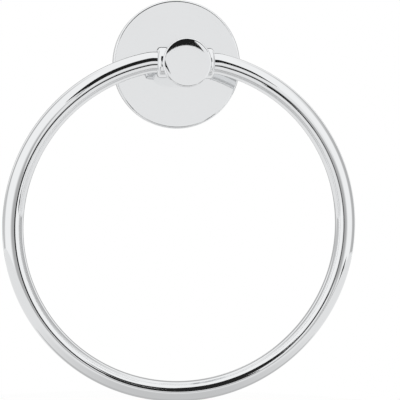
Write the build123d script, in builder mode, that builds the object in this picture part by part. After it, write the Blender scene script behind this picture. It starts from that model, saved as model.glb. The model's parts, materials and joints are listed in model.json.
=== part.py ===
"""Wall towel ring of polished chrome on brass, in millimetres.

The wall is the plane y = 0, the part stands out from it towards -Y, and +Z is up. The origin is the
middle of the back plate, on the wall. The ring hangs plumb from the post and swings about the axis of
the sleeve that crosses the post.
"""

import os
from math import acos, atan2, degrees, sqrt

from build123d import *

# Ring and the sleeve it swings in
ring_diameter = 165.0  # over the outside of the ring
rod_diameter = 9.5
shoulder_radius = 15.0  # of the rod's centreline, where it bends in towards the sleeve
rod_end_gap = 1.0  # between the two ends of the rod, inside the sleeve
rod_end_chamfer = 0.6
swing_clearance = 0.1  # rod to sleeve, all round
sleeve_wall = 2.1
sleeve_length = 26.0
sleeve_mouth_chamfer = 0.25
sleeve_end_land = 0.15  # flat left between the bore's chamfer and the rounded outer edge
journal_overhang = 0.75  # straight rod beyond each end of the sleeve
ring_standoff = 39.0  # wall to the swing axis

# Post
post_diameter = 22.2
nose_wall = 1.9  # metal in front of the sleeve, at the edge of the front face
crown_rise = 0.6  # how far the front face swells at its middle
post_edge_radius = 0.9
braze_gap = 0.05  # sleeve to post, all round

# Back plate, a shallow cup that hides the wall bracket
plate_diameter = 62.5
plate_depth = 7.0
plate_face = 2.0  # thickness of the front
plate_rim = 2.2  # thickness of the wall round the edge
plate_edge_radius = 1.0

# Wall bracket, bevelled so that it is narrower at the wall
bracket_space = 3.8  # bracket's widest edge to the plate's rim, room to hook the plate on
bracket_bevel = 2.0  # how much narrower its radius is at the wall
bracket_face_gap = 1.0  # bracket to the inside of the plate's face
bracket_bore = 16.0  # clears the head of the post screw
wall_screw_spacing = 32.0
wall_screw_hole = 4.8
wall_screw_head = 9.0
countersink_angle = 90.0

# Lugs in the plate that hook behind the bracket's bevel
lug_angles = (45.0, 135.0)  # degrees from +X towards +Z
lug_arc = 26.0
lug_clearance = 0.3
lug_setback = 0.5  # behind the edge that meets the wall

# Lock screw, under the plate, which draws it to the wall
lock_screw_diameter = 4.0
lock_screw_recess = 0.6  # below the plate's edge
lock_screw_point = 1.6  # length of the cone
lock_screw_socket = 2.0  # across flats
lock_socket_depth = 2.2
lock_screw_share = 0.7  # its height off the wall, as a share of the bracket's thickness
lock_seat_clearance = 0.05
lock_boss_width = 9.0
lock_boss_rise = 1.3  # above the inside of the rim

# Post screw, its spring washer and the pin that keeps the post from turning
post_screw_diameter = 5.0
post_screw_length = 12.0  # under the head
post_screw_head = 9.5
post_screw_head_height = 2.75
post_screw_crown = 4.4  # flat at the top of the domed head
post_screw_edge = 0.5  # straight edge under the dome
post_screw_socket = 3.0  # across flats
post_socket_depth = 1.6
post_screw_clearance = 0.25  # in the plate, all round
thread_clearance = 0.05  # tapped holes, all round
tapping_depth = 2.0  # of the tapped hole past the screw's end
washer_diameter = 9.2
washer_thickness = 1.2
washer_clearance = 0.1  # on the screw, all round
washer_slit = 0.9
washer_slit_angle = 20.0
pin_diameter = 2.5
pin_length = 6.5
pin_inset = 3.5  # middle of the pin in from the side of the post
pin_clearance = 0.05  # all round

# Sizes that follow from those above
rod_radius = rod_diameter / 2
ring_radius = ring_diameter / 2 - rod_radius  # of the rod's centreline
sleeve_bore_radius = rod_radius + swing_clearance
sleeve_radius = sleeve_bore_radius + sleeve_wall
sleeve_edge_radius = sleeve_wall - sleeve_mouth_chamfer - sleeve_end_land
journal_end = sleeve_length / 2 + journal_overhang
shoulder_drop = sqrt((ring_radius - shoulder_radius) ** 2 - journal_end**2)
ring_drop = shoulder_radius + shoulder_drop  # swing axis down to the middle of the ring
shoulder_turn = degrees(atan2(journal_end, shoulder_drop))

post_radius = post_diameter / 2
pin_offset = post_radius - pin_inset  # above the middle of the post
cross_hole_radius = sleeve_radius + braze_gap
nose_edge = ring_standoff + cross_hole_radius + nose_wall  # wall to the edge of the front face
post_front = nose_edge + crown_rise
crown_radius = (post_radius**2 + crown_rise**2) / (2 * crown_rise)

plate_radius = plate_diameter / 2
rim_inside = plate_radius - plate_rim
plate_recess = plate_depth - plate_face

bracket_front_radius = rim_inside - bracket_space
bracket_back_radius = bracket_front_radius - bracket_bevel
bracket_thickness = plate_recess - bracket_face_gap
bevel_slope = bracket_bevel / bracket_thickness

lock_screw_height = bracket_thickness * lock_screw_share
lock_screw_radius = lock_screw_diameter / 2
lock_screw_tip = bracket_back_radius + bevel_slope * lock_screw_height + lock_seat_clearance
lock_screw_end = plate_radius - lock_screw_recess

post_screw_radius = post_screw_diameter / 2
post_screw_seat = plate_recess - washer_thickness  # wall to the underside of the head
post_screw_tip = post_screw_seat + post_screw_length

# Planes: distances from the wall run along the first one's normal, and the second has radius and
# distance from the wall as its two directions
wall = Plane.XZ
turning = Plane(origin=(0, 0, 0), x_dir=(1, 0, 0), z_dir=(0, 0, -1))
swing = Plane(origin=(0, -ring_standoff, 0), z_dir=(1, 0, 0))
lock_axis = Axis((0, -lock_screw_height, 0), (0, 0, 1))


def bevel_radius(from_wall):
    """Radius of the bracket's bevelled edge at a distance from the wall."""
    return bracket_back_radius + bevel_slope * from_wall


def radial_plane(angle):
    """Plane through the post's axis, with radius and distance from the wall as its two directions."""
    out = Vector(1, 0, 0).rotate(Axis((0, 0, 0), (0, -1, 0)), angle)
    return Plane(origin=(0, 0, 0), x_dir=out, z_dir=out.cross(Vector(0, -1, 0)))


# Back plate
with BuildPart() as back_plate:
    with BuildSketch(wall):
        Circle(plate_radius)
    extrude(amount=plate_depth)
    front_edge = back_plate.edges().filter_by(GeomType.CIRCLE).sort_by(Axis.Y)[0]
    fillet(front_edge, plate_edge_radius)
    with BuildSketch(wall):
        Circle(rim_inside)
    extrude(amount=plate_recess, mode=Mode.SUBTRACT)
    # Hooked lugs, whose inner faces run along the bracket's bevel
    for lug_angle in lug_angles:
        with BuildSketch(radial_plane(lug_angle + lug_arc / 2)):
            with BuildLine():
                Polyline(
                    (bevel_radius(lug_setback) + lug_clearance, lug_setback),
                    (bevel_radius(plate_recess) + lug_clearance, plate_recess),
                    (rim_inside + plate_rim / 2, plate_recess),
                    (rim_inside + plate_rim / 2, lug_setback),
                    close=True,
                )
            make_face()
        revolve(axis=Axis.Y, revolution_arc=lug_arc)
    # Boss for the lock screw, and its tapped hole through the rim
    boss_inside = rim_inside - lock_boss_rise
    boss_outside = rim_inside + plate_rim / 2
    with BuildSketch(wall.offset(lug_setback)):
        with Locations((0, -(boss_inside + boss_outside) / 2)):
            Rectangle(lock_boss_width, boss_outside - boss_inside)
    extrude(amount=plate_recess - lug_setback)
    with BuildSketch(Plane.XY.offset(-plate_radius)):
        with Locations((0, -lock_screw_height)):
            Circle(lock_screw_radius + thread_clearance)
    extrude(amount=plate_radius - bracket_front_radius, mode=Mode.SUBTRACT)
    # Holes for the post screw and the locating pin
    with BuildSketch(wall.offset(plate_recess)):
        Circle(post_screw_radius + post_screw_clearance)
        with Locations((0, pin_offset)):
            Circle(pin_diameter / 2 + pin_clearance)
    extrude(amount=plate_face, mode=Mode.SUBTRACT)

# Post
with BuildPart() as post:
    with BuildSketch(turning):
        with BuildLine():
            rim_start = Line((0, plate_depth), (post_radius, plate_depth))
            post_side = Line(rim_start @ 1, (post_radius, nose_edge))
            edge_angle = degrees(acos(post_radius / crown_radius))
            crown = CenterArc((0, post_front - crown_radius), crown_radius, edge_angle, 90 - edge_angle)
            Line(crown @ 1, rim_start @ 0)
        make_face()
    revolve(axis=Axis.Y)
    barrel = post.faces().filter_by(GeomType.CYLINDER)[0]
    nose = barrel.edges().filter_by(GeomType.CIRCLE).sort_by(Axis.Y)[0]
    fillet(nose, post_edge_radius)
    with BuildSketch(swing):
        Circle(cross_hole_radius)
    extrude(amount=post_diameter, both=True, mode=Mode.SUBTRACT)
    with BuildSketch(wall.offset(plate_depth)):
        Circle(post_screw_radius + thread_clearance)
    extrude(amount=post_screw_tip + tapping_depth - plate_depth, mode=Mode.SUBTRACT)
    with BuildSketch(wall.offset(plate_depth)):
        with Locations((0, pin_offset)):
            Circle(pin_diameter / 2 + pin_clearance)
    extrude(amount=plate_recess + pin_length - plate_depth, mode=Mode.SUBTRACT)

# Sleeve across the post
with BuildPart() as ring_sleeve:
    with BuildSketch(swing):
        Circle(sleeve_radius)
        Circle(sleeve_bore_radius, mode=Mode.SUBTRACT)
    extrude(amount=sleeve_length / 2, both=True)
    end_edges = ring_sleeve.faces().filter_by(Axis.X).edges()
    bore_mouths = end_edges.filter_by(lambda e: e.radius < sleeve_radius - sleeve_wall / 2)
    outer_ends = end_edges.filter_by(lambda e: e.radius > sleeve_radius - sleeve_wall / 2)
    fillet(outer_ends, sleeve_edge_radius)
    chamfer(bore_mouths, sleeve_mouth_chamfer)

# Ring: one rod, bent round and sprung into the two ends of the sleeve
with BuildPart() as towel_ring:
    with BuildLine(wall.offset(ring_standoff)):
        Line((rod_end_gap / 2, 0), (journal_end, 0))
        CenterArc((journal_end, -shoulder_radius), shoulder_radius, 90, -shoulder_turn)
        CenterArc((0, -ring_drop), ring_radius, 90 - shoulder_turn, 2 * shoulder_turn - 360)
        CenterArc((-journal_end, -shoulder_radius), shoulder_radius, 90 + shoulder_turn, -shoulder_turn)
        Line((-journal_end, 0), (-rod_end_gap / 2, 0))
    with BuildSketch(swing.offset(rod_end_gap / 2)):
        Circle(rod_radius)
    sweep()
    rod_ends = towel_ring.faces().filter_by(Axis.X).edges()
    chamfer(rod_ends, rod_end_chamfer)

# Wall bracket
with BuildPart() as wall_bracket:
    with BuildSketch(turning):
        with BuildLine():
            Polyline(
                (bracket_bore / 2, 0),
                (bracket_back_radius, 0),
                (bracket_front_radius, bracket_thickness),
                (bracket_bore / 2, bracket_thickness),
                close=True,
            )
        make_face()
    revolve(axis=Axis.Y)
    with Locations(wall.offset(bracket_thickness)):
        with GridLocations(wall_screw_spacing, 0, 2, 1):
            CounterSinkHole(
                wall_screw_hole / 2,
                wall_screw_head / 2,
                depth=bracket_thickness,
                counter_sink_angle=countersink_angle,
            )

# Lock screw
with BuildPart() as lock_screw:
    with BuildSketch(Plane.XZ.offset(lock_screw_height)):
        with BuildLine():
            Polyline(
                (0, -lock_screw_tip),
                (lock_screw_radius, -lock_screw_tip - lock_screw_point),
                (lock_screw_radius, -lock_screw_end),
                (0, -lock_screw_end),
                close=True,
            )
        make_face()
    revolve(axis=lock_axis)
    with BuildSketch(Plane.XY.offset(-lock_screw_end)):
        with Locations((0, -lock_screw_height)):
            RegularPolygon(lock_screw_socket / 2, 6, major_radius=False)
    extrude(amount=lock_socket_depth, mode=Mode.SUBTRACT)

# Post screw, driven from behind the plate
with BuildPart() as post_screw:
    head_top = post_screw_seat - post_screw_head_height
    with BuildSketch(turning):
        with BuildLine():
            top = Line((0, head_top), (post_screw_crown / 2, head_top))
            dome_foot = (post_screw_head / 2, post_screw_seat - post_screw_edge)
            dome = TangentArc(top @ 1, dome_foot, tangent=top % 1)
            Polyline(
                dome @ 1,
                (post_screw_head / 2, post_screw_seat),
                (post_screw_radius, post_screw_seat),
                (post_screw_radius, post_screw_tip),
                (0, post_screw_tip),
                (0, head_top),
            )
        make_face()
    revolve(axis=Axis.Y)
    with BuildSketch(wall.offset(head_top)):
        RegularPolygon(post_screw_socket / 2, 6, major_radius=False)
    extrude(amount=post_socket_depth, mode=Mode.SUBTRACT)

# Spring washer, pressed flat under the head
with BuildPart() as spring_washer:
    with BuildSketch(wall.offset(post_screw_seat)):
        Circle(washer_diameter / 2)
        Circle(post_screw_radius + washer_clearance, mode=Mode.SUBTRACT)
        with Locations(Location((0, -washer_diameter / 2, 0), (0, 0, washer_slit_angle))):
            Rectangle(washer_slit, washer_diameter, mode=Mode.SUBTRACT)
    extrude(amount=washer_thickness)

# Locating pin between the plate and the post
with BuildPart() as locating_pin:
    with BuildSketch(wall.offset(plate_recess)):
        with Locations((0, pin_offset)):
            Circle(pin_diameter / 2)
    extrude(amount=pin_length)

pieces = {
    "back_plate": back_plate,
    "post": post,
    "ring_sleeve": ring_sleeve,
    "towel_ring": towel_ring,
    "wall_bracket": wall_bracket,
    "lock_screw": lock_screw,
    "post_screw": post_screw,
    "spring_washer": spring_washer,
    "locating_pin": locating_pin,
}
os.makedirs("parts", exist_ok=True)
for node, piece in pieces.items():
    piece.part.label = node
    export_step(piece.part, f"parts/{node}.step")
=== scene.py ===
"""Looks of a wall towel ring in polished chrome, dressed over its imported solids, in metres.

The wall is the plane y = 0, the part stands out from it towards -Y, and +Z is up. Distances called
along run from the wall, from the middle of the sleeve or from the middle of the plate, whichever the
piece is turned about.
"""

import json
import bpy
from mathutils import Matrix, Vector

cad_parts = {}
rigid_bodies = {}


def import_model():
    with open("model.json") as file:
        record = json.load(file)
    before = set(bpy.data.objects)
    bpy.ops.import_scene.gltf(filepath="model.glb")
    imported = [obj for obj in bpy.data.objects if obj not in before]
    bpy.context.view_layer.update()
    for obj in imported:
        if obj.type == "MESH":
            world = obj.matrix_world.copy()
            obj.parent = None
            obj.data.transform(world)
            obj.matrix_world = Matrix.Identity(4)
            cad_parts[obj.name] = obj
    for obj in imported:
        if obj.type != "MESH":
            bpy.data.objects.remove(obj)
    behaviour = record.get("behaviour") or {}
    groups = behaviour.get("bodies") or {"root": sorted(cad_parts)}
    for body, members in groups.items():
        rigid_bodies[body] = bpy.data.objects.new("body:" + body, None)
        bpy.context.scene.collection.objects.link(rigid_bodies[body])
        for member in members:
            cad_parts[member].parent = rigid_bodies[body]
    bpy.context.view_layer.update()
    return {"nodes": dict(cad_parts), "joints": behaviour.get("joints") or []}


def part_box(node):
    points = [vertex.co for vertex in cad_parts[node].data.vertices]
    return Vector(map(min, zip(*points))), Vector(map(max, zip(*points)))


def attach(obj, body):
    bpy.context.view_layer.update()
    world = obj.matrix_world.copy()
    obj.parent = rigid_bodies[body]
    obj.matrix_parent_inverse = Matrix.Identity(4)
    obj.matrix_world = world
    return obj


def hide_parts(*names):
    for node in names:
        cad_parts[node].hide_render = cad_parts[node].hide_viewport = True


bl_info = {
    "name": "Wall Towel Ring",
    "version": (1, 0, 0),
    "blender": (4, 5, 0),
    "location": "3D View > Sidebar > Towel Ring",
    "description": "Builds a polished chrome wall towel ring and the white studio it stands in",
    "category": "Object",
}

from math import acos, atan2, cos, isclose, pi, radians, sin, sqrt, tau

import bmesh
import bpy
from bpy.props import FloatProperty, FloatVectorProperty, IntProperty, PointerProperty
from mathutils import Matrix, Vector


def clear_scene():
    """Removes what a new file starts with."""
    for thing in list(bpy.data.objects):
        bpy.data.objects.remove(thing)


clear_scene()
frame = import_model()

MM = 0.001
MOUNT_BODY = "wall_mount"
RING_BODY = "ring"
SWING = Vector(frame["joints"][0]["pos_m"])
PLATE_LOW, PLATE_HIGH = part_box("back_plate")
POST_LOW, POST_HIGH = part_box("post")
SLEEVE_LOW, SLEEVE_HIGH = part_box("ring_sleeve")
RING_LOW, RING_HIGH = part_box("towel_ring")
BRACKET_LOW, BRACKET_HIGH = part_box("wall_bracket")
LOCK_LOW, LOCK_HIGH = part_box("lock_screw")
POST_SCREW_LOW, POST_SCREW_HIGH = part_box("post_screw")
PIN_LOW, PIN_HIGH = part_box("locating_pin")

# How finely the pieces are turned and swept
TURN_STEPS = 256
HOLE_STEPS = 96
SCREW_STEPS = 64
EDGE_STEPS = 10
CROWN_STEPS = 24
LUG_STEPS = 26
ROWS_PER_PITCH = 12
SHARP_EDGE = radians(32)
SUPPORT = 0.12 * MM  # a row beside each rounded edge, which keeps the face next to it true
EDGE_BREAK = 0.15 * MM  # on edges that are only deburred
OVERCUT = 0.5 * MM  # how far a cutter or a lug runs past the face it meets
BRACKET_EASE = 0.25 * MM  # round on the bracket's edges
HEXAGON = 6


def length(name, description, default):
    """A size in metres that a user may change."""
    return FloatProperty(name=name, description=description, default=default, min=0.0, precision=5,
                         subtype="DISTANCE", unit="LENGTH")


def angle(name, description, default):
    """An angle, given in degrees."""
    return FloatProperty(name=name, description=description, default=radians(default),
                         subtype="ANGLE", unit="ROTATION")


def colour(name, description, default):
    """A base colour in linear values."""
    return FloatVectorProperty(name=name, description=description, default=default, min=0.0, max=1.0,
                               size=3, subtype="COLOR")


# Settings


class RingSizes(bpy.types.PropertyGroup):
    """The rod, its path and the sleeve it swings in"""

    ring_diameter: length("Ring diameter", "Over the outside of the ring", 165 * MM)
    rod_radius: length("Rod radius", "Of the round rod", RING_HIGH.z)
    shoulder_radius: length("Shoulder radius", "Of the bend beside the sleeve, at mid rod", 15 * MM)
    journal_overhang: length("Journal overhang", "Straight rod beyond the sleeve", 0.75 * MM)
    end_gap: length("End gap", "Between the rod's two ends, inside the sleeve", 1 * MM)
    end_chamfer: length("End chamfer", "On the rod's two ends", 0.6 * MM)
    sleeve_length: length("Sleeve length", "End to end", SLEEVE_HIGH.x - SLEEVE_LOW.x)
    sleeve_radius: length("Sleeve radius", "Over the outside", SLEEVE_HIGH.z)
    sleeve_bore: length("Sleeve bore", "Radius of the hole for the rod", 4.85 * MM)
    sleeve_edge: length("Sleeve edge", "Radius of its outer edges", 1.7 * MM)
    sleeve_mouth: length("Sleeve mouth", "Chamfer at the hole's ends", 0.25 * MM)
    ring_steps: IntProperty(name="Ring steps", description="Rows along half the ring", default=260)
    shoulder_steps: IntProperty(name="Shoulder steps", description="Rows along a shoulder", default=10)
    section_steps: IntProperty(name="Section steps", description="Faces round the rod", default=64)


class MountSizes(bpy.types.PropertyGroup):
    """The post, the back plate and the bracket behind it"""

    post_radius: length("Post radius", "Of the round post", POST_HIGH.x)
    post_front: length("Post front", "Wall to the middle of the post's face", -POST_LOW.y)
    crown_rise: length("Crown rise", "How far the post's face swells", 0.6 * MM)
    post_edge: length("Post edge", "Radius round the post's face", 0.9 * MM)
    cross_hole: length("Cross hole", "Radius of the hole for the sleeve", 7 * MM)
    tapped_hole: length("Tapped hole", "Radius of the hole for the post screw", 2.55 * MM)
    tapped_end: length("Tapped end", "Wall to the bottom of the tapped hole", 17.8 * MM)
    pin_hole: length("Pin hole", "Radius of the hole for the locating pin", 1.3 * MM)
    plate_radius: length("Plate radius", "Of the round back plate", PLATE_HIGH.x)
    plate_depth: length("Plate depth", "Wall to the plate's face", -PLATE_LOW.y)
    plate_recess: length("Plate recess", "Wall to the inside of the face", 5 * MM)
    plate_inside: length("Plate inside", "Radius inside the rim", 29.05 * MM)
    plate_edge: length("Plate edge", "Radius round the plate's face", 1 * MM)
    plate_hole: length("Plate hole", "Radius of the hole for the post screw", 2.75 * MM)
    lug_arc: angle("Lug arc", "How far each hooked lug runs round the rim", 26)
    lug_spread: angle("Lug spread", "Between the middles of the two lugs", 90)
    lug_clearance: length("Lug clearance", "Lug to the bracket's bevel", 0.3 * MM)
    lug_setback: length("Lug setback", "Lugs and boss to the wall", 0.5 * MM)
    boss_width: length("Boss width", "Of the boss for the lock screw", 9 * MM)
    boss_rise: length("Boss rise", "Above the inside of the rim", 1.3 * MM)
    lock_hole: length("Lock hole", "Radius of the tapped hole in the rim", 2.05 * MM)
    bracket_radius: length("Bracket radius", "At the face towards the plate", BRACKET_HIGH.x)
    bracket_bevel: length("Bracket bevel", "How much narrower it is at the wall", 2 * MM)
    bracket_thickness: length("Bracket thickness", "Of the disc", -BRACKET_LOW.y)
    bracket_bore: length("Bracket bore", "Radius of the hole in the middle", 8 * MM)
    wall_screw_spacing: length("Wall screw spacing", "Between the two holes", 32 * MM)
    wall_screw_hole: length("Wall screw hole", "Radius of each hole", 2.4 * MM)
    wall_screw_head: length("Wall screw head", "Radius of each countersink", 4.5 * MM)


class FastenerSizes(bpy.types.PropertyGroup):
    """The lock screw and the post screw"""

    lock_point: length("Lock point", "Length of the lock screw's cone", 1.6 * MM)
    lock_socket: length("Lock socket", "Across flats", 2 * MM)
    lock_socket_depth: length("Lock socket depth", "Of the hexagon hole", 2.2 * MM)
    lock_pitch: length("Lock pitch", "Of the lock screw's thread", 0.7 * MM)
    head_height: length("Head height", "Of the post screw", 2.75 * MM)
    head_crown: length("Head crown", "Radius of the flat on the domed head", 2.2 * MM)
    head_edge: length("Head edge", "Straight edge under the dome", 0.5 * MM)
    post_shank: length("Post shank", "Radius of the post screw's thread", 2.5 * MM)
    post_neck: length("Post neck", "Plain length under the head", 3.2 * MM)
    post_socket: length("Post socket", "Across flats", 3 * MM)
    post_socket_depth: length("Post socket depth", "Of the hexagon hole", 1.6 * MM)
    post_pitch: length("Post pitch", "Of the post screw's thread", 0.8 * MM)
    thread_share: FloatProperty(name="Thread depth", description="Depth as a share of the pitch",
                                default=0.6, min=0.0, max=0.7, subtype="FACTOR")
    point_chamfer: length("Point chamfer", "Where a thread begins", 0.5 * MM)


class Finishes(bpy.types.PropertyGroup):
    """Base colours of the metals"""

    chrome: colour("Chrome", "Mirror polished chrome plate", (0.86, 0.87, 0.88))
    zinc: colour("Zinc", "Dull zinc plate on the bracket", (0.70, 0.71, 0.70))
    steel: colour("Steel", "Machined stainless fasteners", (0.56, 0.57, 0.58))


class StageSettings(bpy.types.PropertyGroup):
    """The camera and the white studio round it"""

    camera_place: FloatVectorProperty(name="Camera place", description="Where the camera stands",
                                      default=(-0.05585, -0.4992, -0.01289), subtype="TRANSLATION",
                                      unit="LENGTH")
    camera_azimuth: angle("Camera azimuth", "Round from the front, positive towards +X", -7.89)
    camera_elevation: angle("Camera elevation", "How far the camera looks down", 6.15)
    camera_roll: angle("Camera roll", "Turn of the picture", 0.97)
    lens: FloatProperty(name="Lens", description="Focal length on a 36 mm sensor", default=90.50,
                        unit="CAMERA")
    floor_drop: length("Floor drop", "Ring's lowest point to the floor", 0.34)
    floor_radius: length("Floor radius", "Of the round floor", 1.1)


class TowelRingSettings(bpy.types.PropertyGroup):
    """Everything a user may change"""

    ring: PointerProperty(type=RingSizes)
    mount: PointerProperty(type=MountSizes)
    fasteners: PointerProperty(type=FastenerSizes)
    finish: PointerProperty(type=Finishes)
    stage: PointerProperty(type=StageSettings)


# Nodes


def node(tree, kind, inputs=None, **settings):
    """A new node; inputs maps socket names or places to values or to other nodes' sockets."""
    made = tree.nodes.new(kind)
    for name, value in settings.items():
        setattr(made, name, value)
    for name, value in (inputs or {}).items():
        if isinstance(value, bpy.types.NodeSocket):
            tree.links.new(value, made.inputs[name])
        else:
            made.inputs[name].default_value = value
    return made


def maths(tree, operation, *values):
    """The result of a math node."""
    return node(tree, "ShaderNodeMath", dict(enumerate(values)), operation=operation).outputs[0]


def vectors(tree, operation, *values, output="Vector"):
    """What a vector math node gives, which is its vector unless another output is named."""
    made = node(tree, "ShaderNodeVectorMath", dict(enumerate(values)), operation=operation)
    return made.outputs[output]


def vector_value(tree, operation, *values):
    """The number that a vector math node gives."""
    return vectors(tree, operation, *values, output="Value")


def scaled(tree, vector, factor):
    """A vector times a number."""
    inputs = {0: vector, "Scale": factor}
    return node(tree, "ShaderNodeVectorMath", inputs, operation="SCALE").outputs["Vector"]


def vector_of(tree, **parts):
    """A vector from its parts X, Y and Z."""
    return node(tree, "ShaderNodeCombineXYZ", parts).outputs[0]


def mapped(tree, value, from_low, from_high, to_low, to_high, smooth=False):
    """A value carried from one range to another, and held inside it."""
    made = node(tree, "ShaderNodeMapRange",
                {"Value": value, "From Min": from_low, "From Max": from_high,
                 "To Min": to_low, "To Max": to_high},
                interpolation_type="SMOOTHSTEP" if smooth else "LINEAR")
    return made.outputs["Result"]


def mixed_colour(tree, factor, first, second):
    """One colour mixed into another."""
    made = node(tree, "ShaderNodeMix", data_type="RGBA")
    for name, value in (("Factor_Float", factor), ("A_Color", first), ("B_Color", second)):
        socket = next(s for s in made.inputs if s.identifier == name)
        if isinstance(value, bpy.types.NodeSocket):
            tree.links.new(value, socket)
        else:
            socket.default_value = value
    return next(s for s in made.outputs if s.identifier == "Result_Color")


def new_group(name, kind, inputs, outputs):
    """A new node group, its input node's outputs and its output node; its sockets are given by kind."""
    tree = bpy.data.node_groups.new(name, f"{kind}NodeTree")
    for in_out, kinds in (("INPUT", inputs), ("OUTPUT", outputs)):
        for socket_kind, names in kinds.items():
            for socket in names:
                tree.interface.new_socket(name=socket, in_out=in_out, socket_type=f"NodeSocket{socket_kind}")
    return tree, node(tree, "NodeGroupInput").outputs, node(tree, "NodeGroupOutput")


# Metals


ROD_GIRTH = 30 * MM  # about the way round the rod
DRAWN_OUT = 0.05  # how close marks lie along the rod, as a share of how close they lie across it
HAZE_TINT, GRAIN_TINT = 0.65, 0.35  # shares of haze and grain in the colour
HAZE_SPAN, GRAIN_SPAN = (0.3, 0.7), (0.35, 0.65)  # noise that counts as no mark and as a full one


def metal_marks():
    """Group: cloudy haze and fine working marks, as a tint mask, a roughness and a height."""
    tree = bpy.data.node_groups.get("Metal marks")
    if tree:
        return tree
    tree, given, out = new_group("Metal marks", "Shader", {
        "Vector": ("Surface", "Grain"),
        "Float": ("Haze Scale", "Grain Scale", "Smooth", "Haze Roughness", "Grain Roughness",
                  "Grain Height"),
    }, {"Float": ("Tint", "Roughness", "Height")})
    haze = node(tree, "ShaderNodeTexNoise",
                {"Vector": given["Surface"], "Scale": given["Haze Scale"], "Detail": 4.0, "Roughness": 0.6})
    grain = node(tree, "ShaderNodeTexNoise",
                 {"Vector": given["Grain"], "Scale": given["Grain Scale"], "Detail": 3.0, "Roughness": 0.7})
    cloud = mapped(tree, haze.outputs["Fac"], *HAZE_SPAN, 0.0, 1.0, smooth=True)
    lines = mapped(tree, grain.outputs["Fac"], *GRAIN_SPAN, 0.0, 1.0, smooth=True)
    hazy = maths(tree, "MULTIPLY_ADD", cloud, given["Haze Roughness"], given["Smooth"])
    rough = maths(tree, "MULTIPLY_ADD", lines, given["Grain Roughness"], hazy)
    height = maths(tree, "MULTIPLY_ADD", lines, given["Grain Height"], haze.outputs["Fac"])
    tint = maths(tree, "MULTIPLY_ADD", lines, GRAIN_TINT, maths(tree, "MULTIPLY", cloud, HAZE_TINT))
    for name, value in (("Tint", tint), ("Roughness", rough), ("Height", height)):
        tree.links.new(value, out.inputs[name])
    return tree


def wall_turned(tree, surface):
    """Grain that runs in circles about the post's axis."""
    parts = node(tree, "ShaderNodeSeparateXYZ", {0: surface}).outputs
    radius = vector_value(tree, "LENGTH", vector_of(tree, X=parts["X"], Y=parts["Z"]))
    return vector_of(tree, X=radius, Y=parts["Y"])


def swing_turned(tree, surface):
    """Grain that runs in circles about the sleeve's axis."""
    parts = node(tree, "ShaderNodeSeparateXYZ", {0: surface}).outputs
    return vector_of(tree, X=parts["X"])


def rod_drawn(tree, surface):
    """Grain that runs along the ring's rod, from the path lengths stored on its mesh."""
    around = node(tree, "ShaderNodeAttribute", attribute_name="rod_turn").outputs["Fac"]
    along = node(tree, "ShaderNodeAttribute", attribute_name="rod_length").outputs["Fac"]
    return vector_of(tree, X=maths(tree, "MULTIPLY", around, ROD_GIRTH),
                     Y=maths(tree, "MULTIPLY", along, DRAWN_OUT))


def even_grain(tree, surface):
    """Grain that has no direction."""
    return surface


def metal(name, base, grain, values, shade, bump_height):
    """A metal whose colour, roughness and bump all come from its working marks."""
    material = bpy.data.materials.new(name)
    material.use_nodes = True
    tree = material.node_tree
    shader = tree.nodes["Principled BSDF"]
    surface = node(tree, "ShaderNodeTexCoord").outputs["Object"]
    inputs = {"Surface": surface, "Grain": grain(tree, surface), **values}
    marks = node(tree, "ShaderNodeGroup", inputs, node_tree=metal_marks()).outputs
    darker = [channel * shade for channel in base]
    tint = mixed_colour(tree, marks["Tint"], (*base, 1), (*darker, 1))
    bump = node(tree, "ShaderNodeBump",
                {"Height": marks["Height"], "Strength": 1.0, "Distance": bump_height}).outputs["Normal"]
    for socket, value in (("Base Color", tint), ("Roughness", marks["Roughness"]), ("Normal", bump)):
        tree.links.new(value, shader.inputs[socket])
    shader.inputs["Metallic"].default_value = 1.0
    return material


def chrome(finish, name, grain):
    """Mirror polished chrome plate, with a trace of buffing marks."""
    values = {"Haze Scale": 45.0, "Grain Scale": 2600.0, "Smooth": 0.02, "Haze Roughness": 0.015,
              "Grain Roughness": 0.015, "Grain Height": 0.03}
    return metal(name, finish.chrome, grain, values, shade=0.985, bump_height=0.0015 * MM)


def zinc(finish):
    """Dull zinc plate with a cloudy, faintly pitted skin."""
    values = {"Haze Scale": 160.0, "Grain Scale": 1500.0, "Smooth": 0.30, "Haze Roughness": 0.14,
              "Grain Roughness": 0.08, "Grain Height": 0.6}
    return metal("dull_zinc", finish.zinc, even_grain, values, shade=0.80, bump_height=0.012 * MM)


def steel(finish, name, grain):
    """Machined stainless steel with turning marks."""
    values = {"Haze Scale": 400.0, "Grain Scale": 5200.0, "Smooth": 0.20, "Haze Roughness": 0.08,
              "Grain Roughness": 0.12, "Grain Height": 1.0}
    return metal(name, finish.steel, grain, values, shade=0.82, bump_height=0.004 * MM)


# Turning, cutting and finishing of meshes


SOLID_WELD = 0.001 * MM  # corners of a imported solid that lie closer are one
SOLID_FLAT = radians(0.5)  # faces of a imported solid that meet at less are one


def about_post(radius, along, turn):
    """A point turned about the post's axis, at a distance from the wall."""
    return Vector((radius * cos(turn), -along, radius * sin(turn)))


def about_swing(radius, along, turn):
    """A point turned about the axis of the sleeve."""
    return SWING + Vector((along, radius * cos(turn), radius * sin(turn)))


def about_pin(radius, along, turn):
    """A point turned about the locating pin's axis, at a distance from the wall."""
    return about_post(radius, along, turn) + Vector((0, 0, (PIN_LOW.z + PIN_HIGH.z) / 2))


def about_lock(radius, along, turn):
    """A point turned about the lock screw's axis, at a distance below the middle of the plate."""
    height = (LOCK_LOW.y + LOCK_HIGH.y) / 2
    return Vector((radius * cos(turn), height + radius * sin(turn), -along))


def bend(centre, radius, start, end, steps=EDGE_STEPS):
    """Points of an arc in an outline, from one angle to another in radians."""
    angles = [start + (end - start) * step / steps for step in range(steps + 1)]
    return [(centre[0] + radius * cos(turn), centre[1] + radius * sin(turn)) for turn in angles]


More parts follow.
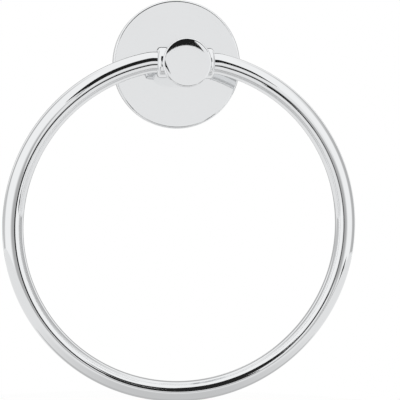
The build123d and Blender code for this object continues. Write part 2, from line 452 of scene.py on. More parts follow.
def as_mesh(shape, name):
    """A mesh from a bmesh, as it is."""
    mesh = bpy.data.meshes.new(name)
    shape.to_mesh(mesh)
    shape.free()
    return mesh


def to_mesh(shape, name):
    """A mesh from a bmesh whose faces are turned outwards."""
    bmesh.ops.recalc_face_normals(shape, faces=shape.faces)
    return as_mesh(shape, name)


def lathe(name, outline, place, steps=TURN_STEPS, start=0.0, sweep=tau):
    """A closed mesh turned from an outline of (radius, along) points, whole or a sector with two ends."""
    shape = bmesh.new()
    whole = isclose(sweep, tau)
    poles = {row: shape.verts.new(place(0, along, 0))
             for row, (radius, along) in enumerate(outline) if radius == 0}
    columns = []
    for step in range(steps if whole else steps + 1):
        turn = start + sweep * step / steps
        columns.append([poles[row] if row in poles else shape.verts.new(place(*point, turn))
                        for row, point in enumerate(outline)])
    rows = len(outline) - 1 if poles else len(outline)
    neighbours = columns[1:] + columns[:1] if whole else columns[1:]
    for left, right in zip(columns, neighbours):
        for row in range(rows):
            below = (row + 1) % len(outline)
            corners = (left[row], right[row], right[below], left[below])
            shape.faces.new(tuple(dict.fromkeys(corners)))
    if not whole:
        shape.faces.new(columns[0])
        shape.faces.new(columns[-1])
    return to_mesh(shape, name)


def rod_cutter(radius, start, end, place, steps=HOLE_STEPS):
    """A plain round or hexagonal cutter from one distance to another along an axis."""
    return lathe("cutter", [(0, start), (radius, start), (radius, end), (0, end)], place, steps)


def block(low, high):
    """A box mesh between two corners."""
    shape = bmesh.new()
    size, middle = high - low, (high + low) / 2
    bmesh.ops.create_cube(shape, matrix=Matrix.Translation(middle) @ Matrix.Diagonal((*size, 1)))
    return to_mesh(shape, "block")


def shown(name, mesh):
    """A new object in the scene, at the origin."""
    made = bpy.data.objects.new(name, mesh)
    bpy.context.scene.collection.objects.link(made)
    return made


def settled(made):
    """The object's mesh with its modifiers applied; the object itself is removed."""
    evaluated = made.evaluated_get(bpy.context.evaluated_depsgraph_get())
    mesh = bpy.data.meshes.new_from_object(evaluated)
    name = made.name
    bpy.data.objects.remove(made)
    mesh.name = name
    return mesh


def combined(mesh, tools, operation):
    """The mesh with each tool's mesh cut away from it (DIFFERENCE) or joined to it (UNION)."""
    work = shown(mesh.name, mesh)
    helpers = [shown("tool", tool) for tool in tools]
    for helper in helpers:
        modifier = work.modifiers.new("combine", "BOOLEAN")
        modifier.object = helper
        modifier.operation = operation
        modifier.solver = "EXACT"
    result = settled(work)
    for helper in helpers:
        bpy.data.objects.remove(helper)
    return result


def eased(mesh, width, segments=2):
    """The mesh with its sharp edges rounded a little."""
    work = shown(mesh.name, mesh)
    modifier = work.modifiers.new("ease", "BEVEL")
    modifier.width = width
    modifier.segments = segments
    modifier.limit_method = "ANGLE"
    modifier.angle_limit = SHARP_EDGE
    return settled(work)


def solid_copy(node_name):
    """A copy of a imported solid's mesh with its loose triangles joined."""
    shape = bmesh.new()
    shape.from_mesh(frame["nodes"][node_name].data)
    bmesh.ops.remove_doubles(shape, verts=shape.verts, dist=SOLID_WELD)
    bmesh.ops.dissolve_limit(shape, angle_limit=SOLID_FLAT, verts=shape.verts, edges=shape.edges)
    return to_mesh(shape, node_name)


def dress(name, mesh, material, node_name, body=MOUNT_BODY):
    """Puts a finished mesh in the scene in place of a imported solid."""
    mesh.shade_smooth()
    mesh.set_sharp_from_angle(angle=SHARP_EDGE)
    mesh.materials.clear()
    mesh.materials.append(material)
    piece = shown(name, mesh)
    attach(piece, body)
    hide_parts(node_name)


# Geometry node trees


PATH_WELD = 0.01 * MM  # the rod's runs and bends meet within this
SHANK_MATCH = 0.02 * MM  # how near to its radius a shank is threaded
THREAD_ROOT, THREAD_CREST = 0.2, 0.85  # where a thread's flank starts and ends, as shares of its rise


def shaped(tree, kind, inputs=None):
    """What a geometry node gives first."""
    return node(tree, f"GeometryNode{kind}", inputs).outputs[0]


def ended(tree, out, geometry, material):
    """The tree, ended in plain geometry of one material."""
    plain = shaped(tree, "RealizeInstances", {"Geometry": geometry})
    coated = shaped(tree, "SetMaterial", {"Geometry": plain, "Material": material})
    tree.links.new(coated, out.inputs["Geometry"])
    return tree


def swept_rod(material):
    """Tree: a round rod swept along two journals, two shoulders and the ring between them."""
    tree, given, out = new_group("Swept rod", "Geometry", {
        "Float": ("Rod Radius", "Ring Radius", "Shoulder Radius", "Shoulder Turn", "Journal Start",
                  "Journal End", "Ring Drop", "End Chamfer"),
        "Vector": ("Swing Place",),
        "Int": ("Ring Steps", "Shoulder Steps", "Section Steps"),
    }, {"Geometry": ("Geometry",)})

    def point(x, z):
        return vector_of(tree, X=x, Z=z)

    def run(start, end):
        return shaped(tree, "CurvePrimitiveLine", {"Start": start, "End": end})

    def curved(radius, start, sweep, steps, centre):
        arc = shaped(tree, "CurveArc",
                     {"Resolution": steps, "Radius": radius, "Start Angle": start, "Sweep Angle": sweep})
        stood_up = {"Geometry": arc, "Translation": centre, "Rotation": (pi / 2, 0, 0)}
        return shaped(tree, "Transform", stood_up)

    def joined(*parts):
        join = node(tree, "GeometryNodeJoinGeometry")
        for part in parts:
            tree.links.new(part, join.inputs[0])
        return join.outputs[0]

    # Half of the path, from a rod end inside the sleeve to the bottom of the ring
    start = point(given["Journal Start"], 0.0)
    chamfered = point(maths(tree, "ADD", given["Journal Start"], given["End Chamfer"]), 0.0)
    shoulder = point(given["Journal End"], 0.0)
    shoulder_centre = point(given["Journal End"], maths(tree, "MULTIPLY", given["Shoulder Radius"], -1.0))
    ring_centre = point(0.0, maths(tree, "MULTIPLY", given["Ring Drop"], -1.0))
    turn = given["Shoulder Turn"]
    ring_start = maths(tree, "SUBTRACT", pi / 2, turn)
    ring_sweep = maths(tree, "SUBTRACT", turn, pi)
    half = joined(
        run(start, chamfered),
        run(chamfered, shoulder),
        curved(given["Shoulder Radius"], pi / 2, maths(tree, "MULTIPLY", turn, -1.0),
               given["Shoulder Steps"], shoulder_centre),
        curved(given["Ring Radius"], ring_start, ring_sweep, given["Ring Steps"], ring_centre),
    )
    half = shaped(tree, "CurveToMesh", {"Curve": half})
    other = shaped(tree, "Transform", {"Geometry": half, "Scale": (-1, 1, 1)})
    path = shaped(tree, "MergeByDistance", {"Geometry": joined(half, other), "Distance": PATH_WELD})
    path = shaped(tree, "MeshToCurve", {"Mesh": path})

    # Lengths along and round the rod, kept for the polishing marks
    measure = node(tree, "GeometryNodeSplineParameter").outputs
    path = shaped(tree, "StoreNamedAttribute",
                  {"Geometry": path, "Name": "rod_length", "Value": measure["Length"]})
    section = shaped(tree, "CurvePrimitiveCircle",
                     {"Resolution": given["Section Steps"], "Radius": given["Rod Radius"]})
    section = shaped(tree, "StoreNamedAttribute",
                     {"Geometry": section, "Name": "rod_turn", "Value": measure["Factor"]})

    # The two end sections are smaller, which chamfers the rod's ends
    ends = shaped(tree, "CurveEndpointSelection")
    lost = maths(tree, "DIVIDE", given["End Chamfer"], given["Rod Radius"])
    scale = maths(tree, "SUBTRACT", 1.0, maths(tree, "MULTIPLY", ends, lost))
    rod = shaped(tree, "CurveToMesh",
                 {"Curve": path, "Profile Curve": section, "Scale": scale, "Fill Caps": True})
    rod = shaped(tree, "Transform", {"Geometry": rod, "Translation": given["Swing Place"]})
    return ended(tree, out, rod, material)


def cut_thread(material):
    """Tree: sinks a right-hand thread into the shank of a turned screw."""
    tree, given, out = new_group("Cut thread", "Geometry", {
        "Geometry": ("Geometry",),
        "Float": ("Pitch", "Depth", "Shank Radius", "Start", "End"),
        "Vector": ("Origin", "Axis", "Side"),
    }, {"Geometry": ("Geometry",)})

    # Each point's distance along the axis, and its turn about it
    arm = vectors(tree, "SUBTRACT", shaped(tree, "InputPosition"), given["Origin"])
    along = vector_value(tree, "DOT_PRODUCT", arm, given["Axis"])
    radial = vectors(tree, "SUBTRACT", arm, scaled(tree, given["Axis"], along))
    outward = vectors(tree, "NORMALIZE", radial)
    across = vectors(tree, "CROSS_PRODUCT", given["Axis"], given["Side"])
    turn = maths(tree, "ARCTAN2", vector_value(tree, "DOT_PRODUCT", outward, across),
                 vector_value(tree, "DOT_PRODUCT", outward, given["Side"]))

    # How deep the thread is there, running out over its first pitch
    pitches = maths(tree, "DIVIDE", along, given["Pitch"])
    phase = maths(tree, "FRACT", maths(tree, "SUBTRACT", pitches, maths(tree, "DIVIDE", turn, tau)))
    off_crest = maths(tree, "ABSOLUTE", maths(tree, "MULTIPLY_ADD", phase, 2.0, -1.0))
    ridge = maths(tree, "SUBTRACT", 1.0, off_crest)
    groove = mapped(tree, ridge, THREAD_ROOT, THREAD_CREST, 1.0, 0.0)
    first_turn = maths(tree, "ADD", given["Start"], given["Pitch"])
    run_out = mapped(tree, along, given["Start"], first_turn, 0.0, 1.0)
    inward = maths(tree, "MULTIPLY", given["Depth"], -1.0)
    sunk = maths(tree, "MULTIPLY", maths(tree, "MULTIPLY", groove, run_out), inward)

    # Only the shank between the thread's two ends is moved
    radius = vector_value(tree, "LENGTH", radial)
    on_shank = maths(tree, "COMPARE", radius, given["Shank Radius"], SHANK_MATCH)
    begun = maths(tree, "GREATER_THAN", along, given["Start"])
    before_end = maths(tree, "LESS_THAN", along, given["End"])
    chosen = maths(tree, "MULTIPLY", on_shank, maths(tree, "MULTIPLY", begun, before_end))
    offset = scaled(tree, outward, maths(tree, "MULTIPLY", sunk, chosen))
    screw = shaped(tree, "SetPosition", {"Geometry": given["Geometry"], "Offset": offset})
    return ended(tree, out, screw, material)


def grown(name, mesh, tree, values):
    """The mesh that a geometry node tree gives for these named inputs."""
    work = shown(name, mesh)
    modifier = work.modifiers.new(tree.name, "NODES")
    modifier.node_group = tree
    sockets = [item for item in tree.interface.items_tree if item.in_out == "INPUT"]
    identifiers = {socket.name: socket.identifier for socket in sockets}
    for socket, value in values.items():
        modifier[identifiers[socket]] = value
    return settled(work)


# Pieces


class TOWELRING_OT_ring(bpy.types.Operator):
    """Sweep the ring's rod along its path"""

    bl_idname = "towel_ring.make_ring"
    bl_label = "Towel ring"

    def execute(self, context):
        sizes = context.scene.towel_ring.ring
        material = chrome(context.scene.towel_ring.finish, "chrome_rod", rod_drawn)
        ring_radius = sizes.ring_diameter / 2 - sizes.rod_radius
        journal_end = sizes.sleeve_length / 2 + sizes.journal_overhang
        shoulder_drop = sqrt((ring_radius - sizes.shoulder_radius) ** 2 - journal_end**2)
        mesh = grown("towel_ring_rod", bpy.data.meshes.new("path"), swept_rod(material), {
            "Rod Radius": sizes.rod_radius,
            "Ring Radius": ring_radius,
            "Shoulder Radius": sizes.shoulder_radius,
            "Shoulder Turn": atan2(journal_end, shoulder_drop),
            "Journal Start": sizes.end_gap / 2,
            "Journal End": journal_end,
            "Ring Drop": sizes.shoulder_radius + shoulder_drop,
            "End Chamfer": sizes.end_chamfer,
            "Swing Place": SWING,
            "Ring Steps": sizes.ring_steps,
            "Shoulder Steps": sizes.shoulder_steps,
            "Section Steps": sizes.section_steps,
        })
        dress("towel_ring_rod", mesh, material, "towel_ring", RING_BODY)
        return {"FINISHED"}


class TOWELRING_OT_sleeve(bpy.types.Operator):
    """Turn the sleeve that crosses the post"""

    bl_idname = "towel_ring.make_sleeve"
    bl_label = "Ring sleeve"

    def execute(self, context):
        sizes = context.scene.towel_ring.ring
        end = sizes.sleeve_length / 2
        outer, bore = sizes.sleeve_radius, sizes.sleeve_bore
        edge, mouth = sizes.sleeve_edge, sizes.sleeve_mouth
        half = [
            (bore, end - mouth),
            (bore + mouth, end),
            (outer - edge - SUPPORT, end),
            *bend((outer - edge, end - edge), edge, pi / 2, 0),
            (outer, end - edge - SUPPORT),
        ]
        outline = half + [(radius, -along) for radius, along in reversed(half)]
        mesh = lathe("ring_sleeve_tube", outline, about_swing)
        material = chrome(context.scene.towel_ring.finish, "chrome_sleeve", swing_turned)
        dress("ring_sleeve_tube", mesh, material, "ring_sleeve")
        return {"FINISHED"}


class TOWELRING_OT_post(bpy.types.Operator):
    """Turn the post, and cut its cross hole and pin hole"""

    bl_idname = "towel_ring.make_post"
    bl_label = "Post"

    def execute(self, context):
        sizes = context.scene.towel_ring.mount
        radius, front, edge, foot = sizes.post_radius, sizes.post_front, sizes.post_edge, sizes.plate_depth
        crown_radius = (radius**2 + sizes.crown_rise**2) / (2 * sizes.crown_rise)
        crown_centre = front - crown_radius
        edge_rise = sqrt((crown_radius - edge) ** 2 - (radius - edge) ** 2)
        edge_centre = (radius - edge, crown_centre + edge_rise)
        edge_end = acos((radius - edge) / (crown_radius - edge))
        crown_start = edge_end + SUPPORT / crown_radius
        crown = bend((0, crown_centre), crown_radius, crown_start, pi / 2, CROWN_STEPS)
        outline = [
            (0, sizes.tapped_end),
            (sizes.tapped_hole, sizes.tapped_end),
            (sizes.tapped_hole, foot),
            (radius - EDGE_BREAK, foot),
            (radius, foot + EDGE_BREAK),
            (radius, edge_centre[1] - SUPPORT),
            *bend(edge_centre, edge, 0, edge_end),
            *crown[:-1],
            (0, front),
        ]
        cutters = [
            rod_cutter(sizes.cross_hole, -2 * radius, 2 * radius, about_swing, TURN_STEPS),
            rod_cutter(sizes.pin_hole, foot - OVERCUT, -PIN_LOW.y, about_pin),
        ]
        mesh = combined(lathe("post_body", outline, about_post), cutters, "DIFFERENCE")
        material = chrome(context.scene.towel_ring.finish, "chrome_post", wall_turned)
        dress("post_body", mesh, material, "post")
        return {"FINISHED"}


class TOWELRING_OT_back_plate(bpy.types.Operator):
    """Turn the back plate, and add its lugs, boss and holes"""

    bl_idname = "towel_ring.make_back_plate"
    bl_label = "Back plate"

    def execute(self, context):
        sizes = context.scene.towel_ring.mount
        radius, depth, edge = sizes.plate_radius, sizes.plate_depth, sizes.plate_edge
        inside, recess, setback = sizes.plate_inside, sizes.plate_recess, sizes.lug_setback
        outline = [
            (sizes.plate_hole, recess),
            (sizes.plate_hole, depth),
            (radius - edge - SUPPORT, depth),
            *bend((radius - edge, depth - edge), edge, pi / 2, 0),
            (radius, depth - edge - SUPPORT),
            (radius, EDGE_BREAK),
            (radius - EDGE_BREAK, 0),
            (inside + EDGE_BREAK, 0),
            (inside, EDGE_BREAK),
            (inside, recess),
        ]
        mesh = lathe("back_plate_cup", outline, about_post)
        rim_middle = (inside + radius) / 2
        slope = sizes.bracket_bevel / sizes.bracket_thickness
        hook_foot = sizes.bracket_radius - sizes.bracket_bevel + sizes.lug_clearance
        lug = [
            (hook_foot + slope * setback, setback),
            (hook_foot + slope * (recess + OVERCUT), recess + OVERCUT),
            (rim_middle, recess + OVERCUT),
            (rim_middle, setback),
        ]
        lug_starts = [pi / 2 + side * sizes.lug_spread / 2 - sizes.lug_arc / 2 for side in (-1, 1)]
        additions = [lathe("lug", lug, about_post, LUG_STEPS, start, sizes.lug_arc) for start in lug_starts]
        additions.append(block(Vector((-sizes.boss_width / 2, -recess - OVERCUT, -rim_middle)),
                               Vector((sizes.boss_width / 2, -setback, -inside + sizes.boss_rise))))
        mesh = combined(mesh, additions, "UNION")
        cutters = [
            rod_cutter(sizes.lock_hole, inside - 2 * sizes.boss_rise, radius + OVERCUT, about_lock),
            rod_cutter(sizes.pin_hole, recess - OVERCUT, depth + OVERCUT, about_pin),
        ]
        mesh = combined(mesh, cutters, "DIFFERENCE")
        material = chrome(context.scene.towel_ring.finish, "chrome_plate", wall_turned)
        dress("back_plate_cup", mesh, material, "back_plate")
        return {"FINISHED"}


class TOWELRING_OT_bracket(bpy.types.Operator):
    """Turn the wall bracket, and cut its two countersunk holes"""

    bl_idname = "towel_ring.make_bracket"
    bl_label = "Wall bracket"

    def execute(self, context):
        sizes = context.scene.towel_ring.mount
        thick, hole, head = sizes.bracket_thickness, sizes.wall_screw_hole, sizes.wall_screw_head
        outline = [
            (sizes.bracket_bore, 0),
            (sizes.bracket_radius - sizes.bracket_bevel, 0),
            (sizes.bracket_radius, thick),
            (sizes.bracket_bore, thick),
        ]
        sunk = [
            (0, -OVERCUT),
            (hole, -OVERCUT),
            (hole, thick - (head - hole)),
            (head + OVERCUT, thick + OVERCUT),
            (0, thick + OVERCUT),
        ]

        def about_hole(side):
            shift = Vector((side * sizes.wall_screw_spacing / 2, 0, 0))
            return lambda radius, along, turn: about_post(radius, along, turn) + shift

        cutters = [lathe("countersink", sunk, about_hole(side), HOLE_STEPS) for side in (-1, 1)]
        mesh = eased(lathe("wall_bracket_disc", outline, about_post), BRACKET_EASE)
        mesh = combined(mesh, cutters, "DIFFERENCE")
        material = zinc(context.scene.towel_ring.finish)
        dress("wall_bracket_disc", mesh, material, "wall_bracket")
        return {"FINISHED"}


def thread_rows(radius, start, end, pitch):
    """Outline points along a shank, close enough together to take a thread."""
    rows = round((end - start) / pitch * ROWS_PER_PITCH)
    return [(radius, start + (end - start) * row / rows) for row in range(rows + 1)]


def socket_cutter(across_flats, start, end, place):
    """A cutter for a screw's hexagon socket."""
    return rod_cutter(across_flats / sqrt(3), start, end, place, HEXAGON)


def make_screw(node_name, outline, place, socket, material, thread):
    """Turns a screw, cuts its socket and its thread, and puts it in the scene."""
    name = f"{node_name}_cut"
    mesh = combined(lathe(name, outline, place, SCREW_STEPS), [socket], "DIFFERENCE")
    values = {**thread, "Origin": place(0, 0, 0), "Side": Vector((1, 0, 0))}
    mesh = grown(name, mesh, cut_thread(material), values)
    dress(name, mesh, material, node_name)


class TOWELRING_OT_screws(bpy.types.Operator):
    """Turn the lock screw and the post screw, and cut their sockets and threads"""

    bl_idname = "towel_ring.make_screws"
    bl_label = "Screws"

    def execute(self, context):
        settings = context.scene.towel_ring
        self.make_lock_screw(settings.fasteners, settings.finish)
        self.make_post_screw(settings.fasteners, settings.finish)
        return {"FINISHED"}

    def make_lock_screw(self, sizes, finish):
        """The screw under the plate, with a cone point."""
        radius, tip, end = LOCK_HIGH.x, -LOCK_HIGH.z, -LOCK_LOW.z
        start, chamfer, pitch = tip + sizes.lock_point, sizes.point_chamfer, sizes.lock_pitch
        shank = thread_rows(radius, start, end - chamfer, pitch)
        outline = [(0, tip), *shank, (radius - chamfer, end), (0, end)]
        socket = socket_cutter(sizes.lock_socket, end - sizes.lock_socket_depth, end + OVERCUT, about_lock)
        material = steel(finish, "steel_lock_screw", even_grain)
        make_screw("lock_screw", outline, about_lock, socket, material, {
            "Pitch": pitch,
            "Depth": pitch * sizes.thread_share,
            "Shank Radius": radius,
            "Start": start - pitch,
            "End": end - chamfer / 2,
            "Axis": Vector((0, 0, -1)),
        })

    def make_post_screw(self, sizes, finish):
        """The screw driven from behind the plate, with a domed head."""
        head, top, tip = POST_SCREW_HIGH.x, -POST_SCREW_HIGH.y, -POST_SCREW_LOW.y
        seat, shank = top + sizes.head_height, sizes.post_shank
        chamfer, pitch = sizes.point_chamfer, sizes.post_pitch
        dome_width, dome_height = head - sizes.head_crown, sizes.head_height - sizes.head_edge
        dome_radius = (dome_width**2 + dome_height**2) / (2 * dome_height)
        dome_centre = (sizes.head_crown, top + dome_radius)
        dome_end = atan2(dome_height - dome_radius, dome_width)
        thread_start = seat + sizes.post_neck
        outline = [
            (0, top),
            *bend(dome_centre, dome_radius, -pi / 2, dome_end),
            (head, seat),
            (shank, seat),
            *thread_rows(shank, thread_start, tip - chamfer, pitch),
            (shank - chamfer, tip),
            (0, tip),
        ]
        socket = socket_cutter(sizes.post_socket, top - OVERCUT, top + sizes.post_socket_depth, about_post)
        material = steel(finish, "steel_post_screw", wall_turned)
        make_screw("post_screw", outline, about_post, socket, material, {
            "Pitch": pitch,
            "Depth": pitch * sizes.thread_share,
            "Shank Radius": shank,
            "Start": thread_start,
            "End": tip - chamfer / 2,
            "Axis": Vector((0, -1, 0)),
        })


class TOWELRING_OT_small_parts(bpy.types.Operator):
    """Finish the spring washer and the locating pin"""

    bl_idname = "towel_ring.make_small_parts"
    bl_label = "Washer and pin"

    def execute(self, context):
        finish = context.scene.towel_ring.finish
        names = {"spring_washer": "spring_washer_ring", "locating_pin": "locating_pin_dowel"}
        for node_name, name in names.items():
            mesh = eased(solid_copy(node_name), EDGE_BREAK)
            material = steel(finish, f"steel_{node_name}", wall_turned)
            dress(name, mesh, material, node_name)
        return {"FINISHED"}


# Stage


# Cards round the part, which only mirrors see, in millimetres. First those that face the wall from a
# distance: ovals with a middle, half sizes and a grey, a hoop in three arcs, and a flag
FACING_OVALS = {
    "pale_card": (500, (45, -10), (140, 116), 0.88),
    "dark_disc": (160, (14, -60), (30, 18), 0.02),
    "dark_spot": (86, (6, -138), (30, 8), 0.02),
}
HOOP = {"distance": 84, "middle": (-2, -80), "half_sizes": (57, 54), "width": 12}
HOOP_ARCS = {
    "hoop_left": ((118, 336), 0.02),
    "hoop_right": ((336, 392), 0.14),
    "hoop_top": ((392, 414), 0.02),
}
FLAG = {
    "distance": 490,
    "left": [(-23, -47), (-46, 2), (-55, 30)],
    "arch": ((52, -22), (125, 116), (141, 46)),
    "right": [(121, 86), (97, 109), (85, 121), (107, 114), (136, 94), (159, 68), (215, 92), (225, 235),
              (170, 345)],
    "top": [(110, 410), (87, 480), (7, 520), (-103, 480), (-223, 370), (-218, 145), (-103, 72), (-65, 40),
            (-53, -5)],
    "grey": 0.015,
}
OVAL_STEPS = 96
ARCH_STEPS = 24

# Level ovals under the ring, at a height, and two lips that stand on the table's brim, each between two
# turns, with a rise and a grey
LEVEL_OVALS = {
    "table": (-170, (0, 0), (405, 345), 0.86),
    "table_shade": (-169, (0, 26), (115, 16), 0.55),
}
LIPS = {"table_lip": ((50, 63), 18, 0.05), "table_rim": ((63, 84), 6, 0.25)}

# Flat panels with soft edges: the two axes that they lie along, their place on the third, their limits on
# each of the two, how softly each of the two ends, and a grey
PANELS = {
    "grey_apron": ("XZ", -530, (-230, 140), (-260, 60), (120, 60), 0.46),
    # The table's shade pool is painted shade: a darker grey patch with soft edges on the table under the
    # ring, which only mirrors see
    "table_shade_pool": ("XY", -169.5, (-70, 70), (-120, 0), (60, 40), 0.62),
    "side_panel_right": ("YZ", 800, (-270, 260), (-600, 500), (130, 350), 0.50),
    "side_panel_left": ("YZ", -800, (-14, 990), (-265, -8), (125, 125), 0.60),
}

# Round the post's axis behind the wall's plane: a flat ring, and a broad band that runs a turn each way
# from straight down, with its turns in degrees
BEHIND = {"distance": -600, "middle": (0, 0), "half_sizes": (275, 275), "width": 450, "grey": 0.50}
BAND = {"radius": 900, "depth": (120, 520), "softness": 70, "turn": 140, "turn_softness": 20, "steps": 90,
        "grey": 0.48}

# The floor and the lamp, in metres
FLOOR = {"colour": (0.9, 0.9, 0.9, 1), "roughness": 0.9, "glow": 0.75, "sides": 96}
LAMP = {"size": 0.8, "power": 4.0, "place": (0.15, -0.35, 0.9), "aim": (0, 0, -0.1)}
SENSOR_WIDTH = 36.0  # in millimetres, as cameras give it

CARD_SOCKETS = ("Middle Across", "Middle Up", "Half Across", "Half Up", "Soft Across", "Soft Up")


def soft_card():
    """Group: a mask with soft edges, from two coordinates and the middle and half sizes of a card."""
    tree = bpy.data.node_groups.get("Soft card")
    if tree:
        return tree
    tree, given, out = new_group("Soft card", "Shader", {"Float": ("Across", "Up", *CARD_SOCKETS)},
                                 {"Float": ("Mask",)})
    masks = []
    for way in ("Across", "Up"):
        apart = maths(tree, "ABSOLUTE", maths(tree, "SUBTRACT", given[way], given[f"Middle {way}"]))
        inner = maths(tree, "SUBTRACT", given[f"Half {way}"], given[f"Soft {way}"])
        outer = maths(tree, "ADD", given[f"Half {way}"], given[f"Soft {way}"])
        masks.append(mapped(tree, apart, inner, outer, 1.0, 0.0, smooth=True))
    tree.links.new(maths(tree, "MULTIPLY", *masks), out.inputs["Mask"])
    return tree


def paint_world():
    """A plain white world, the same for the camera and for what the metal mirrors."""
    world = bpy.data.worlds.new("White studio")
    bpy.context.scene.world = world
    world.use_nodes = True
    background = world.node_tree.nodes["Background"]
    background.inputs["Color"].default_value = (1, 1, 1, 1)
    background.inputs["Strength"].default_value = 1.0


def card_material(name, grey, fade=None):
    """A plain grey that glows; fade, where given, makes the mask that clears it towards its edges."""
    material = bpy.data.materials.new(name)
    material.use_nodes = True
    tree = material.node_tree
    tree.nodes.clear()
    glow = node(tree, "ShaderNodeEmission", {"Color": (grey, grey, grey, 1), "Strength": 1.0}).outputs[0]
    if fade:
        place = node(tree, "ShaderNodeTexCoord").outputs["Object"]
        clear = node(tree, "ShaderNodeBsdfTransparent").outputs[0]
        mask = fade(tree, node(tree, "ShaderNodeSeparateXYZ", {0: place}).outputs)
        glow = node(tree, "ShaderNodeMixShader", {0: mask, 1: clear, 2: glow}).outputs[0]
    out = node(tree, "ShaderNodeOutputMaterial")
    tree.links.new(glow, out.inputs["Surface"])
    return material


def card_mask(tree, across, up, values):
    """The mask of one card; values are its middles, half sizes and softness, across and up."""
    inputs = {"Across": across, "Up": up, **dict(zip(CARD_SOCKETS, values))}
    return node(tree, "ShaderNodeGroup", inputs, node_tree=soft_card()).outputs["Mask"]


def middle_and_half(limits):
    """The middle and the half size between two limits."""
    return (limits[0] + limits[1]) / 2, (limits[1] - limits[0]) / 2


def band_fade(tree, place):
    """The mask of the band, by its turn from straight down and its depth."""
    below = maths(tree, "MULTIPLY", place["Z"], -1.0)
    turn = maths(tree, "DEGREES", maths(tree, "ARCTAN2", place["X"], below))
    middle, half = middle_and_half([depth * MM for depth in BAND["depth"]])
    values = (0, middle, BAND["turn"], half, BAND["turn_softness"], BAND["softness"] * MM)
    return card_mask(tree, turn, place["Y"], values)


def standing(across, along, up):
    """Places a point given across, from the wall and up, in millimetres."""
    return Vector((across, -along, up)) * MM


def upright(distance):
    """Places (across, up) points on a card that faces the wall from a distance."""
    return lambda across, up: standing(across, distance, up)


def level(height):
    """Places (across, along) points on a flat card at a height."""
    return lambda across, along: standing(across, along, height)


def round_band(turn, depth):
    """Places a point of the band, at a turn about the post's axis and a depth behind the wall's plane."""
    return about_post(BAND["radius"], -depth, radians(turn)) * MM


def hang_card(name, faces, place, grey, fade=None):
    """A card of faces given by points in millimetres, which is seen only in mirrors."""
    shape = bmesh.new()
    for face in faces:
        shape.faces.new([shape.verts.new(place(*point)) for point in face])
    mesh = as_mesh(shape, name)
    mesh.materials.append(card_material(name, grey, fade))
    card = shown(name, mesh)
    card.visible_camera = False
    card.visible_diffuse = False
    card.visible_transmission = False
    card.visible_shadow = False


def hang_panel(name, axes, offset, first, second, softness, grey):
    """A flat panel along two of the axes, which fades towards its edges."""
    middles, halves = zip(middle_and_half(first), middle_and_half(second))
    values = [value * MM for value in (*middles, *halves, *softness)]

    def place(*point):
        spot = dict(zip(axes, point))
        return Vector([spot.get(axis, offset) for axis in "XYZ"]) * MM

    def fade(tree, spot):
        return card_mask(tree, spot[axes[0]], spot[axes[1]], values)

    hang_card(name, [rectangle(first, second, softness)], place, grey, fade)


def oval(middle, half_sizes, turn=(0, 360), steps=OVAL_STEPS):
    """Points round an oval, from one turn in degrees to another, counted from the right."""
    turns = [radians(turn[0] + (turn[1] - turn[0]) * step / steps) for step in range(steps + 1)]
    return [(middle[0] + half_sizes[0] * cos(t), middle[1] + half_sizes[1] * sin(t)) for t in turns]


def strip_between(first, second):
    """Faces between two rows of points."""
    return [(first[k - 1], first[k], second[k], second[k - 1]) for k in range(1, len(first))]


def oval_strip(middle, half_sizes, width, turn=(0, 360)):
    """Faces of a strip of even width along an oval."""
    rows = [oval(middle, [size + side * width / 2 for size in half_sizes], turn) for side in (1, -1)]
    return strip_between(*rows)


def rectangle(across, up, margins):
    """The face between two limits each way, with a margin each way."""
    left, right = across[0] - margins[0], across[1] + margins[0]
    low, high = up[0] - margins[1], up[1] + margins[1]
    return [(left, low), (right, low), (right, high), (left, high)]


def hang_cards():
    """The cards that give the chrome its dark lines and its grey edges."""
    for name, (distance, middle, half_sizes, grey) in FACING_OVALS.items():
        hang_card(name, [oval(middle, half_sizes)[:-1]], upright(distance), grey)
    for name, (turn, grey) in HOOP_ARCS.items():
        arc = oval_strip(HOOP["middle"], HOOP["half_sizes"], HOOP["width"], turn)
        hang_card(name, arc, upright(HOOP["distance"]), grey)
    outline = FLAG["left"] + oval(*FLAG["arch"], steps=ARCH_STEPS) + FLAG["right"] + FLAG["top"]
    hang_card("dark_flag", [outline], upright(FLAG["distance"]), FLAG["grey"])
    for name, (height, middle, half_sizes, grey) in LEVEL_OVALS.items():
        hang_card(name, [oval(middle, half_sizes)[:-1]], level(height), grey)
    height, middle, half_sizes, _ = LEVEL_OVALS["table"]
    for name, (turn, rise, grey) in LIPS.items():
        brim = oval(middle, half_sizes, turn)
        rows = [[(*point, up) for point in brim] for up in (height, height + rise)]
        hang_card(name, strip_between(*rows), standing, grey)
    for name, panel in PANELS.items():
        hang_panel(name, *panel)
    behind = oval_strip(BEHIND["middle"], BEHIND["half_sizes"], BEHIND["width"])
    hang_card("grey_behind", behind, upright(BEHIND["distance"]), BEHIND["grey"])
    ends = [BAND["depth"][0] - BAND["softness"], BAND["depth"][1] + BAND["softness"]]
    turns = [360 * step / BAND["steps"] for step in range(BAND["steps"] + 1)]
    rows = [[(turn, depth) for turn in turns] for depth in ends]
    hang_card("grey_band", strip_between(*rows), round_band, BAND["grey"], band_fade)


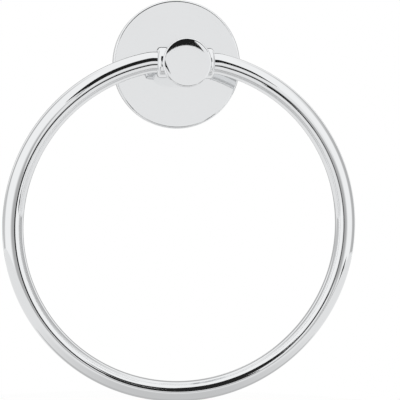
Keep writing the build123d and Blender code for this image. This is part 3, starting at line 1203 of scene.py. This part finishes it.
def lay_floor(stage):
    """A pale round floor well below the ring, white to the camera and to mirrors but for a soft shadow."""
    shape = bmesh.new()
    bmesh.ops.create_circle(shape, cap_ends=True, segments=FLOOR["sides"], radius=stage.floor_radius)
    for vert in shape.verts:
        vert.co.z = RING_LOW.z - stage.floor_drop
    mesh = as_mesh(shape, "studio_floor")
    floor = shown("studio_floor", mesh)
    material = bpy.data.materials.new("pale_floor")
    material.use_nodes = True
    tree = material.node_tree
    shader = tree.nodes["Principled BSDF"]
    shader.inputs["Base Color"].default_value = FLOOR["colour"]
    shader.inputs["Roughness"].default_value = FLOOR["roughness"]
    glow = node(tree, "ShaderNodeEmission", {"Color": (1, 1, 1, 1), "Strength": 1.0})
    path = node(tree, "ShaderNodeLightPath").outputs
    mirrored = maths(tree, "ADD", path["Is Glossy Ray"], path["Is Transmission Ray"])
    seen = maths(tree, "MAXIMUM", path["Is Camera Ray"], mirrored)
    share = maths(tree, "MULTIPLY", seen, FLOOR["glow"])
    mix = node(tree, "ShaderNodeMixShader", {0: share, 1: shader.outputs[0], 2: glow.outputs[0]})
    tree.links.new(mix.outputs[0], tree.nodes["Material Output"].inputs["Surface"])
    mesh.materials.append(material)


def hang_lamp():
    """One broad lamp overhead, which only softens the floor's shadow."""
    data = bpy.data.lights.new("overhead", "AREA")
    data.shape = "DISK"
    data.size = LAMP["size"]
    data.energy = LAMP["power"]
    lamp = shown("overhead", data)
    lamp.location = LAMP["place"]
    lamp.rotation_euler = (Vector(LAMP["aim"]) - lamp.location).to_track_quat("-Z", "Y").to_euler()
    lamp.visible_glossy = False


def set_camera(stage):
    """The camera at the photograph's viewing angle, from its place and its three angles."""
    data = bpy.data.cameras.new("camera")
    data.lens = stage.lens
    data.sensor_width = SENSOR_WIDTH
    camera = shown("camera", data)
    turn, rise, roll = stage.camera_azimuth, stage.camera_elevation, stage.camera_roll
    back = Vector((sin(turn) * cos(rise), -cos(turn) * cos(rise), sin(rise)))
    flat = Vector((0, 0, 1)).cross(back).normalized()
    tall = back.cross(flat)
    right = flat * cos(roll) + tall * sin(roll)
    up = tall * cos(roll) - flat * sin(roll)
    facing = Matrix((right, up, back)).transposed().to_4x4()
    camera.matrix_world = Matrix.Translation(stage.camera_place) @ facing
    bpy.context.scene.camera = camera


class TOWELRING_OT_stage(bpy.types.Operator):
    """Set the camera, the floor, the lamp and the white studio"""

    bl_idname = "towel_ring.set_stage"
    bl_label = "Stage"

    def execute(self, context):
        stage = context.scene.towel_ring.stage
        context.scene.view_settings.view_transform = "Standard"
        set_camera(stage)
        lay_floor(stage)
        hang_lamp()
        hang_cards()
        paint_world()
        return {"FINISHED"}


class TOWELRING_PT_panel(bpy.types.Panel):
    """Buttons and settings of the towel ring"""

    bl_idname = "TOWELRING_PT_panel"
    bl_label = "Wall Towel Ring"
    bl_space_type = "VIEW_3D"
    bl_region_type = "UI"
    bl_category = "Towel Ring"

    def draw(self, context):
        settings = context.scene.towel_ring
        for operator in OPERATORS:
            self.layout.operator(operator.bl_idname)
        for group in (settings.ring, settings.mount, settings.fasteners, settings.finish, settings.stage):
            box = self.layout.box()
            for name in group.__annotations__:
                box.prop(group, name)


OPERATORS = (
    TOWELRING_OT_ring,
    TOWELRING_OT_sleeve,
    TOWELRING_OT_post,
    TOWELRING_OT_back_plate,
    TOWELRING_OT_bracket,
    TOWELRING_OT_screws,
    TOWELRING_OT_small_parts,
    TOWELRING_OT_stage,
)
CLASSES = (
    RingSizes,
    MountSizes,
    FastenerSizes,
    Finishes,
    StageSettings,
    TowelRingSettings,
    *OPERATORS,
    TOWELRING_PT_panel,
)


def register():
    for item in CLASSES:
        bpy.utils.register_class(item)
    bpy.types.Scene.towel_ring = PointerProperty(type=TowelRingSettings)


def unregister():
    del bpy.types.Scene.towel_ring
    for item in reversed(CLASSES):
        bpy.utils.unregister_class(item)


def main():
    register()
    bpy.ops.towel_ring.make_ring()
    bpy.ops.towel_ring.make_sleeve()
    bpy.ops.towel_ring.make_post()
    bpy.ops.towel_ring.make_back_plate()
    bpy.ops.towel_ring.make_bracket()
    bpy.ops.towel_ring.make_screws()
    bpy.ops.towel_ring.make_small_parts()
    bpy.ops.towel_ring.set_stage()


if __name__ == "__main__":
    main()
